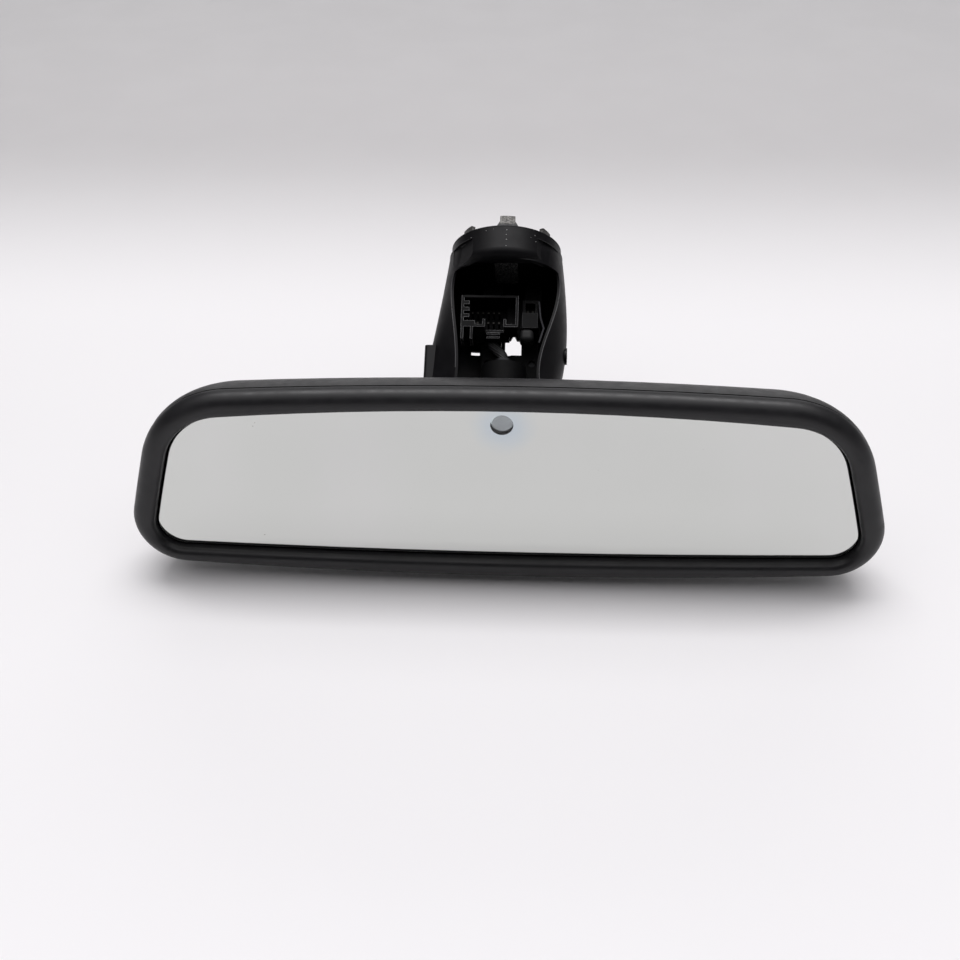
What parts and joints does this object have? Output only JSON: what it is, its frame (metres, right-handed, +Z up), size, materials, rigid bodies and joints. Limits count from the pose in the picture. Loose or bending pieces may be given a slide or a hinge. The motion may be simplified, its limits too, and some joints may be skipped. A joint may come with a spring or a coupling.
{
  "type": "interior rearview mirror",
  "caption": "Self-dimming interior rearview mirror: glass in a framed head with its circuit, on a ball joint under a hooded windscreen mount with sprung claws and harness sockets.",
  "frame": {"origin": "centre of the claw circle, on the mount's axis, at the top rim of the hood, 0.5 mm above the face that the windscreen's button seats on", "axes": "+X to the driver's right along the head's longest side, +Y forward away from the driver, +Z up. The mount's axis leans 57 degrees forward from +Z and the glass faces -Y, leaning 4.5 degrees back"},
  "size_m": [0.253, 0.1052, 0.0932],
  "materials": {
    "bezel_plastic": "fine-textured black moulding with a soft sheen",
    "shell_plastic": "fine-textured black moulding",
    "mirror_glass": "clear front pane over silvering, with a faint green cast",
    "dimming_gel": "clear gel with a faint green tint",
    "seal_epoxy": "dark grey cured epoxy",
    "silvered_glass": "rear pane with its reflector coating",
    "sensor_glass": "clear plug, bluish grey where the sensor shows",
    "tinned_copper": "tinned copper strip",
    "foam": "closed-cell foam with adhesive",
    "carrier_plastic": "glass-filled black moulding, dull",
    "board_laminate": "green solder mask over laminate",
    "chip_black": "black epoxy packages",
    "connector_nylon": "off-white nylon",
    "zinc_screws": "zinc-plated steel",
    "sensor_epoxy": "dark clear epoxy",
    "smoked_lens": "smoked clear plastic",
    "liner_plastic": "natural acetal",
    "spring_steel": "blued spring steel",
    "socket_plastic": "glass-filled black moulding",
    "wire_sheath": "black braided sheath",
    "claw_steel": "black electrocoated steel, worn bare grey on the claw tips",
    "seat_rubber": "black soft rubber",
    "hood_plastic": "fine-textured black moulding with polished rims",
    "arm_zinc": "die-cast zinc, black coated",
    "ball_steel": "turned steel, burnished where it rubs",
    "socket_black": "black nylon, slightly shiny",
    "pin_tin": "tinned brass pins",
    "boot_rubber": "black soft rubber",
    "felt": "rough grey felt"
  },
  "bodies": {
    "mount": {"claw_plate": "claw_steel", "seat_ring": "seat_rubber", "plate_screws": "zinc_screws", "foot_hood": "hood_plastic", "foot_arm": "arm_zinc", "ball_stud": "ball_steel", "hood_screws": "zinc_screws", "main_socket": "socket_black", "main_pins": "pin_tin", "aux_socket": "socket_black", "aux_pins": "pin_tin", "lead_boot": "boot_rubber", "socket_clip": "spring_steel", "ceiling_pad": "felt", "side_cover": "hood_plastic", "side_pin": "hood_plastic", "foot_harness": "wire_sheath"},
    "swivel_liner": {"ball_cup_liner": "liner_plastic"},
    "tilt_spring": {"tension_spring": "spring_steel"},
    "head": {"bezel": "bezel_plastic", "rear_shell": "shell_plastic", "glass_front": "mirror_glass", "gel_layer": "dimming_gel", "gel_seal": "seal_epoxy", "glass_rear": "silvered_glass", "sensor_window": "sensor_glass", "bus_clip_upper": "tinned_copper", "bus_clip_lower": "tinned_copper", "foam_backing": "foam", "carrier_plate": "carrier_plastic", "main_board": "board_laminate", "glare_sensor": "board_laminate", "board_chips": "chip_black", "board_header": "connector_nylon", "harness_plug": "connector_nylon", "board_screws": "zinc_screws", "socket_screws": "zinc_screws", "ambient_sensor": "sensor_epoxy", "ambient_lens": "smoked_lens", "socket_housing": "socket_plastic", "socket_cap": "socket_plastic", "head_harness": "wire_sheath"}
  },
  "joints": [
    {"name": "swivel", "type": "hinge", "parent": "mount", "child": "swivel_liner", "pos_m": [0, -0.05179, -0.03959], "axis": [0, 0, 1], "range_deg": [-15, 15]},
    {"name": "tilt", "type": "hinge", "parent": "swivel_liner", "child": "tilt_spring", "pos_m": [0, -0.05179, -0.03959], "axis": [1, 0, 0], "range_deg": [-24, 15]},
    {"name": "roll", "type": "hinge", "parent": "tilt_spring", "child": "head", "pos_m": [0, -0.05179, -0.03959], "axis": [0, -0.9969, 0.0785], "range_deg": [-8, 8]}
  ]
}
